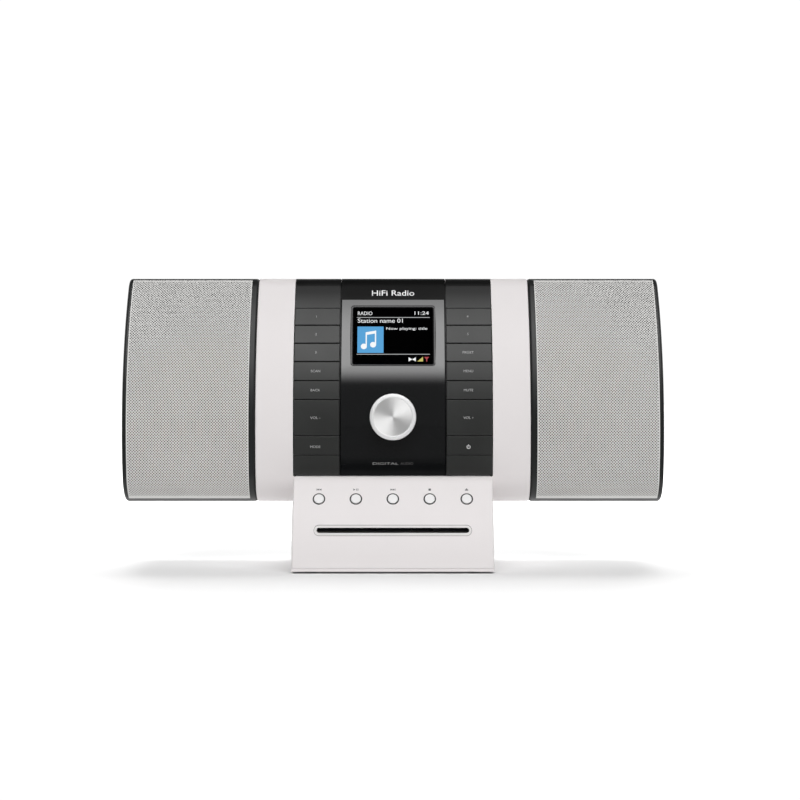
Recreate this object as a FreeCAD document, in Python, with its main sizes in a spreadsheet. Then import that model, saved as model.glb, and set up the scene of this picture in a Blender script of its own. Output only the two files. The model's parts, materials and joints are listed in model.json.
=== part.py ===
import FreeCAD, Part
import math
import os
import re
import Sketcher

# Mini hifi system: a centre unit on a sloping base with a slot CD drive, and a speaker on each side.
# Millimetres. X points right, the front faces -Y, Z points up; the floor is z = 0.

os.makedirs("parts", exist_ok=True)
doc = FreeCAD.newDocument("mini_hifi")
V = FreeCAD.Vector

# ---------------------------------------------------------------- driving sizes
S = {
    # curved front shared by the centre unit and both speakers
    "body_radius": 222.0,       # front surface is part of a drum lying along X
    "arc_y": 186.0,             # drum axis
    "arc_z": 118.4,
    "top_z": 251.0,
    "bottom_z": 56.0,
    "back_y": 70.0,
    "top_round": 17.0,
    "bottom_round": 28.0,
    # centre unit
    "housing_half": 117.7,
    "housing_wall": 2.5,
    "band_inner": 85.5,
    "fascia_half": 85.2,
    "fascia_low": 79.3,
    "fascia_wrap": 22.0,
    "fascia_deep": 7.0,
    "panel_half": 45.1,
    "panel_thick": 3.0,
    "cap_low": 231.3,
    "column_inner": 45.9,
    "column_outer": 85.0,
    "key_thick": 3.5,
    "plate_front": 4.7,
    "key_gap": 0.7,
    "stem_wide": 8.0,
    "stem_high": 4.0,
    # display
    "glass_wide": 71.6,
    "glass_high": 54.6,
    "glass_corner": 3.0,
    # knob
    "knob_radius": 19.75,
    "shaft_radius": 3.0,
    # base
    "base_half": 84.2,
    "base_wall": 2.5,
    "base_radius": 144.0,       # the front of the base is part of a smaller drum
    "base_axis_y": 64.6,
    "base_axis_z": -8.6,
    "base_top": 79.0,
    "base_neck_y": -12.5,
    "base_seam": 4.6,
    "foot_high": 1.4,
    "foot_radius": 6.5,
    "button_radius": 4.2,
    "button_hole": 5.3,
    # CD slot and drive
    "slot_z": 35.4,
    "slot_half": 63.6,
    "slot_high": 4.4,
    "trim_half": 65.6,
    "trim_high": 8.4,
    "chassis_half": 70.0,
    "sheet": 1.2,
    "roller_radius": 4.0,
    "spindle_y": 4.0,
    "rod_radius": 1.5,
    # speakers
    "cabinet_outer": 231.8,
    "cabinet_wall": 3.5,
    "grille_in": 123.4,
    "grille_out": 228.0,
    "grille_low": 59.1,
    "grille_high": 249.2,
    "grille_thick": 1.0,
    "driver_x": 174.75,
    "driver_z": 119.0,
    # antenna
    "antenna_x": 95.0,
    "antenna_z": 238.0,
    "antenna_y": 75.3,
    "antenna_radius": 3.0,
}
sheet = doc.addObject("Spreadsheet::Sheet", "Sizes")
for row, (word, number) in enumerate(S.items(), start=1):
    sheet.set("A%d" % row, word)
    sheet.set("B%d" % row, repr(number))
    sheet.setAlias("B%d" % row, word)
doc.recompute()

WORD = re.compile(r"[a-z][a-z_]+")


def formula(text):
    """Turn names of driving sizes into references to the sheet."""
    return WORD.sub(lambda m: "Sizes." + m.group(0) if m.group(0) in S else m.group(0), str(text))


def bind(obj, prop, value):
    obj.setExpression(prop, formula(value))


# ---------------------------------------------------------------- building blocks
def box(name, x0, x1, y0, y1, z0, z1):
    obj = doc.addObject("Part::Box", name)
    bind(obj, "Length", "(%s) - (%s)" % (x1, x0))
    bind(obj, "Width", "(%s) - (%s)" % (y1, y0))
    bind(obj, "Height", "(%s) - (%s)" % (z1, z0))
    bind(obj, "Placement.Base.x", x0)
    bind(obj, "Placement.Base.y", y0)
    bind(obj, "Placement.Base.z", z0)
    return obj


AXES = {
    "x": FreeCAD.Rotation(V(0, 1, 0), 90),
    "y": FreeCAD.Rotation(V(1, 0, 0), -90),
    "z": FreeCAD.Rotation(),
}


def cylinder(name, radius, x, y, z, length, axis):
    """Cylinder that starts at x, y, z and runs along +axis."""
    obj = doc.addObject("Part::Cylinder", name)
    obj.Placement = FreeCAD.Placement(V(), AXES[axis])
    bind(obj, "Radius", radius)
    bind(obj, "Height", length)
    bind(obj, "Placement.Base.x", x)
    bind(obj, "Placement.Base.y", y)
    bind(obj, "Placement.Base.z", z)
    return obj


def fuse(name, *items):
    obj = doc.addObject("Part::MultiFuse", name)
    obj.Shapes = list(items)
    return obj


def group(name, *items):
    obj = doc.addObject("Part::Compound", name)
    obj.Links = list(items)
    return obj


def cut(name, base, *tools):
    obj = doc.addObject("Part::Cut", name)
    obj.Base = base
    obj.Tool = tools[0] if len(tools) == 1 else group(name + "_tools", *tools)
    return obj


def common(name, first, second):
    obj = doc.addObject("Part::Common", name)
    obj.Base = first
    obj.Tool = second
    return obj


def rounded(name, base, sizes_and_tests, kind="Part::Fillet"):
    """Fillet (or chamfer) the edges chosen by each test; sizes are (near, far)."""
    doc.recompute()
    obj = doc.addObject(kind, name)
    obj.Base = base
    chosen = []
    for near, far, test in sizes_and_tests:
        for number, edge in enumerate(base.Shape.Edges, start=1):
            if test(edge):
                chosen.append((number, near, far))
    obj.Edges = chosen
    return obj


def ends(edge, test):
    return all(test(v.Point) for v in edge.Vertexes)


def close(a, b, tolerance=0.02):
    return abs(a - b) < tolerance


def drum_profile(name, inset, x0, x1, back, seam=0.0):
    """Side profile of the body, drawn in by inset: curved front, flat top, bottom and back."""
    drum = cylinder(name + "_drum", "body_radius - %s" % inset, x0, "arc_y", "arc_z",
                    "(%s) - (%s)" % (x1, x0), "x")
    block = box(name + "_block", x0, x1, -60, back, "bottom_z + %s" % inset, "top_z - %s" % inset)
    raw = common(name + "_raw", drum, block)
    top = S["top_z"] - inset
    low = S["bottom_z"] + inset
    round_top = S["top_round"] - inset
    round_low = S["bottom_round"] - inset
    bends = [(round_low, round_low, lambda e: ends(e, lambda p: close(p.z, low) and p.y < 0))]
    if round_top > 0:
        bends.append((round_top, round_top,
                      lambda e: ends(e, lambda p: close(p.z, top) and p.y < 15)))
    solid = rounded(name + "_profile", raw, bends)
    if not seam:
        return solid
    doc.recompute()
    box_x = solid.Shape.BoundBox

    def side_edge(edge):
        on_side = ends(edge, lambda p: close(p.x, box_x.XMin) or close(p.x, box_x.XMax))
        flat = ends(edge, lambda p: p.y > S["back_y"] - 0.5)
        return on_side and not flat and edge.BoundBox.XLength < 0.1
    return rounded(name + "_soft", solid, [(seam, seam, side_edge)])


def sector(name, outer, inner, x0, x1, high, low):
    """Part of a tube about the drum axis, between two angles above the level of the axis."""
    a = math.radians(high)
    start = V(0, -math.cos(a), math.sin(a))
    turn = FreeCAD.Rotation(start, V(0, -math.sin(a), -math.cos(a)), V(1, 0, 0), "ZXY")
    pieces = []
    for label, radius in (("_out", outer), ("_in", inner)):
        obj = doc.addObject("Part::Cylinder", name + label)
        obj.Placement = FreeCAD.Placement(V(), turn)
        bind(obj, "Radius", radius)
        bind(obj, "Height", "(%s) - (%s)" % (x1, x0))
        bind(obj, "Angle", high - low if label == "_out" else 360)
        bind(obj, "Placement.Base.x", x0)
        bind(obj, "Placement.Base.y", "arc_y")
        bind(obj, "Placement.Base.z", "arc_z")
        pieces.append(obj)
    return cut(name, *pieces)


def on_drum(angle):
    """Frame at the drum axis whose -Y points out through the front at this angle."""
    return FreeCAD.Placement(V(0, S["arc_y"], S["arc_z"]), FreeCAD.Rotation(V(1, 0, 0), -angle))


def on_base(z):
    """Frame on the sloping base front at height z; -Y points straight out of the surface."""
    rise = (z - S["base_axis_z"]) / S["base_radius"]
    angle = math.asin(rise)
    y = S["base_axis_y"] - S["base_radius"] * math.cos(angle)
    return FreeCAD.Placement(V(0, y, z), FreeCAD.Rotation(V(1, 0, 0), -math.degrees(angle)))


def revolved(name, points):
    """Body turned about Y from a closed outline of (radius, y) corners."""
    body = doc.addObject("PartDesign::Body", name)
    sketch = body.newObject("Sketcher::SketchObject", name + "_outline")
    sketch.AttachmentSupport = [(body.Origin.OriginFeatures[3], "")]
    sketch.MapMode = "FlatFace"
    for i, (r, y) in enumerate(points):
        r2, y2 = points[(i + 1) % len(points)]
        sketch.addGeometry(Part.LineSegment(V(r, y, 0), V(r2, y2, 0)), False)
    for i, (r, y) in enumerate(points):
        j = (i - 1) % len(points)
        sketch.addConstraint(Sketcher.Constraint("Coincident", j, 2, i, 1))
        if abs(r) < 1e-9:
            sketch.addConstraint(Sketcher.Constraint("PointOnObject", i, 1, -2))
        else:
            sketch.addConstraint(Sketcher.Constraint("DistanceX", -1, 1, i, 1, r))
        sketch.addConstraint(Sketcher.Constraint("DistanceY", -1, 1, i, 1, y))
    turn = body.newObject("PartDesign::Revolution", name + "_turn")
    turn.Profile = sketch
    turn.ReferenceAxis = (sketch, ["V_Axis"])
    turn.Angle = 360
    body.Tip = turn
    return body, sketch


def plate(name, wide, high, corner, out, back, flare=0.0):
    """Rounded rectangular body in the XZ plane: runs out towards -Y and back towards +Y."""
    body = doc.addObject("PartDesign::Body", name)
    sketch = body.newObject("Sketcher::SketchObject", name + "_outline")
    sketch.AttachmentSupport = [(body.Origin.OriginFeatures[4], "")]
    sketch.MapMode = "FlatFace"
    w = 30.0
    h = 20.0
    r = 2.0
    sides = [((-w + r, -h), (w - r, -h)), ((w, -h + r), (w, h - r)),
             ((w - r, h), (-w + r, h)), ((-w, h - r), (-w, -h + r))]
    centres = [(w - r, -h + r), (w - r, h - r), (-w + r, h - r), (-w + r, -h + r)]
    for k in range(4):
        (xa, ya), (xb, yb) = sides[k]
        sketch.addGeometry(Part.LineSegment(V(xa, ya, 0), V(xb, yb, 0)), False)
        ring = Part.Circle(V(centres[k][0], centres[k][1], 0), V(0, 0, 1), r)
        start = -math.pi / 2 + k * math.pi / 2
        sketch.addGeometry(Part.ArcOfCircle(ring, start, start + math.pi / 2), False)
    add = sketch.addConstraint
    for k in range(4):
        line = 2 * k
        arc = 2 * k + 1
        add(Sketcher.Constraint("Tangent", line, 2, arc, 1))
        add(Sketcher.Constraint("Tangent", arc, 2, (line + 2) % 8, 1))
        if k % 2 == 0:
            add(Sketcher.Constraint("Horizontal", line))
        else:
            add(Sketcher.Constraint("Vertical", line))
        if k:
            add(Sketcher.Constraint("Equal", 1, arc))
    add(Sketcher.Constraint("Symmetric", 1, 3, 5, 3, -1, 1))
    width_at = add(Sketcher.Constraint("DistanceX", 6, 1, 2, 1, 2 * w))
    sketch.renameConstraint(width_at, "wide")
    height_at = add(Sketcher.Constraint("DistanceY", 0, 1, 4, 1, 2 * h))
    sketch.renameConstraint(height_at, "high")
    corner_at = add(Sketcher.Constraint("Radius", 1, r))
    sketch.renameConstraint(corner_at, "corner")
    bind(sketch, "Constraints.wide", wide)
    bind(sketch, "Constraints.high", high)
    bind(sketch, "Constraints.corner", corner)
    pad = body.newObject("PartDesign::Pad", name + "_pad")
    pad.Profile = sketch
    pad.SideType = "Two sides"
    bind(pad, "Length", out)
    bind(pad, "Length2", back)
    pad.TaperAngle = flare
    body.Tip = pad
    return body


NODES = []


def node(label, obj, place=None):
    """Name a finished sub-part and, when given, put it in its place."""
    if place is not None:
        obj.Placement = place
    obj.Label = label
    NODES.append(obj)
    return obj


def placed(obj, place):
    obj.Placement = place
    return obj


# ---------------------------------------------------------------- centre housing
def build_housing():
    outer = drum_profile("housing_outer", 0, "-housing_half", "housing_half", "back_y", 1.2)
    inner = drum_profile("housing_inner", 2.5, "-(housing_half - housing_wall)",
                         "housing_half - housing_wall", "back_y + 5")
    shell = cut("housing_shell", outer, inner)
    face = box("housing_face_cut", "-band_inner", "band_inner", -60, "fascia_wrap + 0.3",
               "base_top - 0.1", 260)
    neck = box("housing_neck_cut", "-(base_half + 0.3)", "base_half + 0.3", -60,
               "base_neck_y + 0.3", 40, "base_top")
    bosses = []
    drills = []
    for side in (-1, 1):
        for z in (68, 238):
            x0, x1 = sorted((side * 102, side * 116))
            tag = "%s_%d" % ("left" if side < 0 else "right", z)
            bosses.append(box("boss_" + tag, x0, x1, 50, "back_y - 2.5", z - 6, z + 6))
            drills.append(cylinder("boss_drill_" + tag, 1.4, side * 108, 54, z, 20, "y"))
    solid = fuse("housing_solid", cut("housing_open", shell, face, neck), *bosses)
    node("center_housing", cut("housing", solid, *drills))


def build_back_panel():
    panel = box("back_sheet", -115, 115, "back_y - 2.5", "back_y", 58.7, 248.3)
    boss = cylinder("antenna_boss", 7, "antenna_x", "back_y - 7", "antenna_z", 7, "y")
    holes = [cylinder("antenna_hole", 2.56, "antenna_x", 50, "antenna_z", 40, "y")]
    for side in (-1, 1):
        for z in (68, 238):
            tag = "%s_%d" % ("left" if side < 0 else "right", z)
            holes.append(cylinder("panel_hole_" + tag, 1.6, side * 108, 60, z, 20, "y"))
    for row in range(9):
        z = 130 + 9 * row
        for side in (-1, 1):
            x0, x1 = sorted((side * 22, side * 62))
            holes.append(box("vent_%d_%d" % (row, side + 1), x0, x1, 60, 80, z, z + 3))
    for x in (-60, -36):
        holes.append(cylinder("jack_hole_%d" % (x + 60), 4.2, x, 60, 92, 20, "y"))
    holes.append(cylinder("inlet_hole", 5.7, 52, 60, 92, 20, "y"))
    node("back_panel", cut("back_cover", fuse("back_solid", panel, boss), *holes))


# ---------------------------------------------------------------- fascia
LINES = [28.4, 24.0, 19.6, 15.3, 10.95, 6.7, -1.3, -5.6]
KEYS_LEFT = ["key_1", "key_2", "key_3", "key_scan", "key_back", "key_volume_down", "key_mode"]
KEYS_RIGHT = ["key_4", "key_5", "key_preset", "key_menu", "key_mute", "key_volume_up",
              "key_power"]
DISPLAY_ANGLE = 21.56
KNOB_ANGLE = 2.8
STEM_X = 65.45


def build_fascia():
    wide = "fascia_half"
    outer = drum_profile("fascia_outer", 0, "-" + wide, wide, "fascia_wrap")
    inner = drum_profile("fascia_inner", 7, "-%s - 1" % wide, wide + " + 1", "fascia_wrap + 1")
    low = box("fascia_low_cut", -100, 100, -60, 60, 40, "fascia_low")
    block = box("centre_block", "-column_inner", "column_inner", -60, "fascia_wrap + 1",
                "fascia_low - 1", 260)
    core = drum_profile("centre_core", 3.2, "-50", "50", "fascia_wrap + 2")
    tools = [inner, low, cut("centre_recess", block, core)]
    for side in (-1, 1):
        x0, x1 = sorted((side * 45.85, side * 90))
        tools.append(sector("key_window_%d" % (side + 1), "body_radius + 2",
                            "body_radius - plate_front", x0, x1, LINES[0], LINES[-1]))
        for k in range(7):
            angle = (LINES[k] + LINES[k + 1]) / 2
            x = side * STEM_X
            slot = box("stem_slot_%d_%d" % (side + 1, k), x - 4.3, x + 4.3, -225, -205, -2.3, 2.3)
            tools.append(placed(group("stem_hole_%d_%d" % (side + 1, k), slot), on_drum(angle)))
    screen = box("screen_cut", -39, 39, -230, -200, -30, 30)
    tools.append(placed(group("screen_hole", screen), on_drum(DISPLAY_ANGLE)))
    bush = cylinder("bush_cut", 4.8, 0, -230, 0, 30, "y")
    tools.append(placed(group("bush_hole", bush), on_drum(KNOB_ANGLE)))
    node("fascia_frame", cut("fascia", outer, *tools))

    skin = cut("centre_skin", drum_profile("centre_out", 0, "-panel_half", "panel_half",
                                           "fascia_wrap"),
               drum_profile("centre_in", 3, "-50", "50", "fascia_wrap + 2"))
    crown = box("crown_block", -60, 60, -60, 60, "cap_low + 0.2", 260)
    node("brand_cap", common("crown", skin, crown))

    slab = sector("panel_slab", "body_radius", "body_radius - panel_thick", "-panel_half",
                  "panel_half", 30.55, -10.12)

    def long_side(edge):
        on_face = ends(edge, lambda p: close(math.hypot(p.y - S["arc_y"], p.z - S["arc_z"]),
                                             S["body_radius"]))
        return on_face and ends(edge, lambda p: close(abs(p.x), S["panel_half"])) \
            and edge.BoundBox.XLength < 0.1
    eased = rounded("panel_eased", slab, [(0.8, 0.8, long_side)], "Part::Chamfer")
    window = plate("window_cut", "glass_wide + 0.6", "glass_high + 0.6", "glass_corner + 0.3",
                   4, 8, 19.5)
    window.Placement = on_drum(DISPLAY_ANGLE).multiply(FreeCAD.Placement(V(0, -219.8, 0),
                                                                         FreeCAD.Rotation()))
    hub = cylinder("hub_cut", 7.5, 0, -230, 0, 30, "y")
    hub_hole = placed(group("hub_hole", hub), on_drum(KNOB_ANGLE))
    node("display_panel", cut("panel", eased, window, hub_hole))


def build_display():
    glass = plate("glass", "glass_wide", "glass_high", "glass_corner", 0, 1.9)
    node("display_window", glass,
         on_drum(DISPLAY_ANGLE).multiply(FreeCAD.Placement(V(0, -219.8, 0), FreeCAD.Rotation())))
    back = box("module_back", -38.5, 38.5, -216.8, -212.5, -29.5, 29.5)
    front = box("module_front", -35, 35, -217.9, -216.8, -26.8, 26.8)
    node("display_module", fuse("module", back, front), on_drum(DISPLAY_ANGLE))


def build_key(label, side, k):
    high = LINES[k]
    low = LINES[k + 1]
    chord = 2 * S["body_radius"] * math.sin(math.radians((high - low) / 2))
    half = "(%.3f - key_gap) / 2" % chord
    x0 = "column_inner" if side > 0 else "-column_outer"
    x1 = "column_outer" if side > 0 else "-column_inner"
    drum = cylinder(label + "_drum", "body_radius", x0, 0, 0, "column_outer - column_inner", "x")
    core = cylinder(label + "_core", "body_radius - key_thick", -100, 0, 0, 200, "x")
    block = box(label + "_block", x0, x1, -230, -200, "-(%s)" % half, half)
    cap = cut(label + "_cap", common(label + "_raw", drum, block), core)
    top = S["body_radius"]
    eased = rounded(label + "_eased", cap, [
        (0.45, 0.45, lambda e: ends(e, lambda p: close(math.hypot(p.y, p.z), top)))])
    x = side * STEM_X
    stem = box(label + "_stem", x - 4, x + 4, -219, -212.9, "-stem_high / 2", "stem_high / 2")
    barb = box(label + "_barb", x - 4, x + 4, -214.7, -213.7, "-stem_high / 2 - 0.8",
               "stem_high / 2 + 0.8")
    node(label, fuse(label + "_solid", eased, stem, barb), on_drum((high + low) / 2))


def build_key_support():
    sheets = []
    switches = []
    for side in (-1, 1):
        x0, x1 = sorted((side * 52, side * 79))
        tag = "left" if side < 0 else "right"
        sheets.append(sector("carrier_" + tag, "body_radius - 14.5", "body_radius - 16", x0, x1,
                             30, -7))
        for angle in (29.4, -6.4):
            post = box("post_%s_%d" % (tag, angle), x0, x1, -214.92, -207.4, -1.2, 1.2)
            sheets.append(placed(group("leg_%s_%d" % (tag, angle), post), on_drum(angle)))
        for k in range(7):
            name = "switch_%s_%d" % (tag, k)
            x = side * STEM_X
            case = box(name + "_case", x - 3, x + 3, -211, -207.5, -3, 3)
            tip = cylinder(name + "_tip", 1.5, x, -212.1, 0, 1.2, "y")
            angle = (LINES[k] + LINES[k + 1]) / 2
            switches.append(placed(fuse(name, case, tip), on_drum(angle)))
    node("key_carrier", fuse("carrier", *sheets))
    node("key_switches", group("switches", *switches))


# ---------------------------------------------------------------- tuning knob
def build_knob():
    knob, sketch = revolved("knob", [
        (0, -232.0), (15.7, -232.0), (15.9, -231.7), (16.1, -231.7), (16.4, -232.5),
        (18.9, -231.2), (19.75, -229.6), (19.75, -222.9), (18.0, -222.9), (18.0, -229.4),
        (5.5, -229.4), (5.5, -221.5), (3.0, -221.5), (3.0, -230.3), (0, -230.3)])
    node("tuning_knob", knob, on_drum(KNOB_ANGLE))
    shaft = cylinder("shaft", "shaft_radius", 0, -230.3, 0, 27.4, "y")
    node("encoder_shaft", group("shaft_group", shaft), on_drum(KNOB_ANGLE))
    plunger = cylinder("plunger", 3.7, 0, -202.8, 0, 3.8, "y")
    node("encoder_plunger", group("plunger_group", plunger), on_drum(KNOB_ANGLE))
    case = box("encoder_case", -7, 7, -206, -196, -6.5, 6.5)
    bush = cylinder("encoder_bush", 4.5, 0, -220, 0, 15, "y")
    collar = cylinder("encoder_nut", 6.5, 0, -214.8, 0, 2, "y")
    bore = cylinder("encoder_bore", "shaft_radius + 0.06", 0, -221, 0, 20, "y")
    well = cylinder("encoder_well", 4.0, 0, -203, 0, 5, "y")
    node("encoder_body", cut("encoder", fuse("encoder_solid", case, bush, collar), bore, well),
         on_drum(KNOB_ANGLE))


# ---------------------------------------------------------------- electronics
def build_electronics():
    parts = [box("pcb", -92, 92, 50, 51.6, 72, 214)]
    for i, (x, z, r, h) in enumerate([(-70, 190, 9, 22), (-48, 192, 7, 18), (-26, 194, 5, 14),
                                      (70, 196, 8, 20), (50, 198, 5, 12)]):
        parts.append(cylinder("capacitor_%d" % i, r, x, "50 - %s" % h, z, h + 0.5, "y"))
    parts.append(box("tuner_can", -84, -44, 42, 50.2, 130, 166))
    parts.append(box("network_can", 40, 80, 45, 50.2, 110, 140))
    parts.append(box("processor", -10, 12, 47.5, 50.2, 130, 152))
    parts.append(box("heatsink_base", 24, 84, 40, 50.2, 150, 180))
    for i in range(8):
        x = 25 + 8 * i
        parts.append(box("heatsink_fin_%d" % i, x, x + 2, 22, 40.5, 150, 180))
    node("main_board", fuse("board", *parts))

    sockets = []
    for i, x in enumerate((-60, -36)):
        name = "jack_%d" % i
        case = box(name + "_case", x - 6, x + 6, 51.6, 67.4, 86, 98)
        barrel = cylinder(name + "_barrel", 4.0, x, 67, 92, 3.6, "y")
        bore = cylinder(name + "_bore", 1.78, x, 54, 92, 20, "y")
        sockets.append(cut(name, fuse(name + "_solid", case, barrel), bore))
    case = box("inlet_case", 45, 59, 51.6, 67.4, 85, 99)
    barrel = cylinder("inlet_barrel", 5.5, 52, 67, 92, 3.6, "y")
    bore = cylinder("inlet_bore", 2.8, 52, 58, 92, 20, "y")
    pin = cylinder("inlet_pin", 1.0, 52, 56, 92, 13, "y")
    hollow = cut("inlet_hollow", fuse("inlet_solid", case, barrel), bore)
    sockets.append(fuse("inlet", hollow, pin))
    node("rear_sockets", group("sockets", *sockets))

    screws = []
    for side in (-1, 1):
        for z in (68, 238):
            name = "screw_%s_%d" % ("left" if side < 0 else "right", z)
            head = cylinder(name + "_head", 3.0, side * 108, "back_y", z, 1.8, "y")
            shank = cylinder(name + "_shank", 1.35, side * 108, 56, z, 14.5, "y")
            recess = box(name + "_slot", side * 108 - 2, side * 108 + 2, 71, 73, z - 0.4, z + 0.4)
            screws.append(cut(name, fuse(name + "_solid", head, shank), recess))
    node("case_screws", group("screws", *screws))


# ---------------------------------------------------------------- base
def base_drum(name, inset, x0, x1, back, low, high):
    drum = cylinder(name + "_drum", "base_radius - %s" % inset, x0, "base_axis_y", "base_axis_z",
                    "(%s) - (%s)" % (x1, x0), "x")
    block = box(name + "_block", x0, x1, -100, back, low, high)
    return common(name, drum, block)


BUTTONS = [("button_previous", -62), ("button_play", -31), ("button_next", 0),
           ("button_stop", 31), ("button_eject", 62)]
BUTTON_Z = 61.0


def racetrack(name, half, high, y0, y1, z):
    """Long rounded bar along X, used for the slot and its trim."""
    r = "(%s) / 2" % high
    mid = box(name + "_mid", "-(%s) + %s" % (half, r), "%s - %s" % (half, r), y0, y1,
              "%s - %s" % (z, r), "%s + %s" % (z, r))
    left = cylinder(name + "_left", r, "-(%s) + %s" % (half, r), y0, z, "(%s) - (%s)" % (y1, y0),
                    "y")
    right = cylinder(name + "_right", r, "%s - %s" % (half, r), y0, z, "(%s) - (%s)" % (y1, y0),
                     "y")
    return fuse(name, mid, left, right)


def build_base():
    half = "base_half"
    block = base_drum("base_block", 0, "-" + half, half, "back_y", "base_seam", "base_top")
    soft_top = rounded("base_soft_top", block, [
        (10, 10, lambda e: ends(e, lambda p: close(p.z, S["base_top"]) and p.y < 0))])
    doc.recompute()

    def side_edge(edge):
        on_side = ends(edge, lambda p: close(abs(p.x), S["base_half"]))
        low = ends(edge, lambda p: close(p.z, S["base_seam"]))
        back = ends(edge, lambda p: p.y > 60)
        return on_side and not low and not back and edge.BoundBox.XLength < 0.1
    soft = rounded("base_soft", soft_top, [(1.5, 1.5, side_edge)])
    shelf = box("base_shelf_cut", -100, 100, "base_neck_y", 100, "bottom_z", 90)
    low_room = base_drum("base_low_room", 2.5, "-(%s - base_wall)" % half, half + " - base_wall",
                         "back_y - 2.5", 0, "bottom_z - 2.5")
    neck_room = base_drum("base_neck_room", 2.5, "-(%s - base_wall)" % half,
                          half + " - base_wall", "base_neck_y - 2.5", 50, "base_top - 2.5")
    cuts = [shelf, low_room, neck_room,
            racetrack("trim_cut", "trim_half + 0.1", "trim_high + 0.2", -90, -45, "slot_z")]
    posts = []
    for label, x in BUTTONS:
        hole = cylinder(label + "_hole", "button_hole", x, -6, 0, 9.5, "y")
        cuts.append(placed(group(label + "_cut", hole), on_base(BUTTON_Z)))
    for x in (-46.5, 46.5):
        post = cylinder("button_post_%d" % (x > 0), 2.5, x, 2.2, 0, 7.8, "y")
        posts.append(placed(group("button_leg_%d" % (x > 0), post), on_base(BUTTON_Z)))
    node("base_shell", fuse("base", cut("base_hollow", soft, *cuts), *posts))

    tray = base_drum("tray_block", 0, "-base_half", "base_half", "back_y", "foot_high",
                     "base_seam - 0.2")
    eased = rounded("tray", tray, [
        (0.5, 0.5, lambda e: ends(e, lambda p: close(p.z, S["foot_high"])))], "Part::Chamfer")
    node("base_plate", eased)
    feet = []
    for i, (x, y) in enumerate([(-68, -62), (68, -62), (-68, 54), (68, 54)]):
        feet.append(cylinder("foot_%d" % i, "foot_radius", x, y, 0, "foot_high", "z"))
    node("rubber_feet", group("feet", *feet))

    ring = cut("bezel_ring",
               cylinder("bezel_out", "base_radius + 0.4", -70, "base_axis_y", "base_axis_z", 140,
                        "x"),
               cylinder("bezel_in", "base_radius - 3", -71, "base_axis_y", "base_axis_z", 142,
                        "x"))
    trim = common("bezel_trim", ring,
                  racetrack("trim", "trim_half", "trim_high", -90, -45, "slot_z"))
    node("slot_bezel", cut("bezel", trim,
                           racetrack("slot", "slot_half", "slot_high", -95, -40, "slot_z")))


def build_buttons():
    for label, x in BUTTONS:
        cap = cylinder(label + "_cap", "button_radius", x, -0.7, 0, 3.6, "y")
        soft = rounded(label + "_soft", cap, [
            (0.5, 0.5, lambda e: e.BoundBox.YMax < -0.6)])
        rim = cylinder(label + "_rim", 6.2, x, 2.9, 0, 1.1, "y")
        stem = cylinder(label + "_stem", 1.8, x, 3.5, 0, 2.6, "y")
        node(label, fuse(label + "_solid", soft, rim, stem), on_base(BUTTON_Z))
    parts = [box("button_pcb", -74, 74, 10, 11.6, -5, 5)]
    for label, x in BUTTONS:
        parts.append(box(label + "_switch", x - 3, x + 3, 7.8, 10.1, -3, 3))
        parts.append(cylinder(label + "_tip", 1.5, x, 7.0, 0, 1, "y"))
    node("button_board", fuse("button_strip", *parts), on_base(BUTTON_Z))


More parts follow.
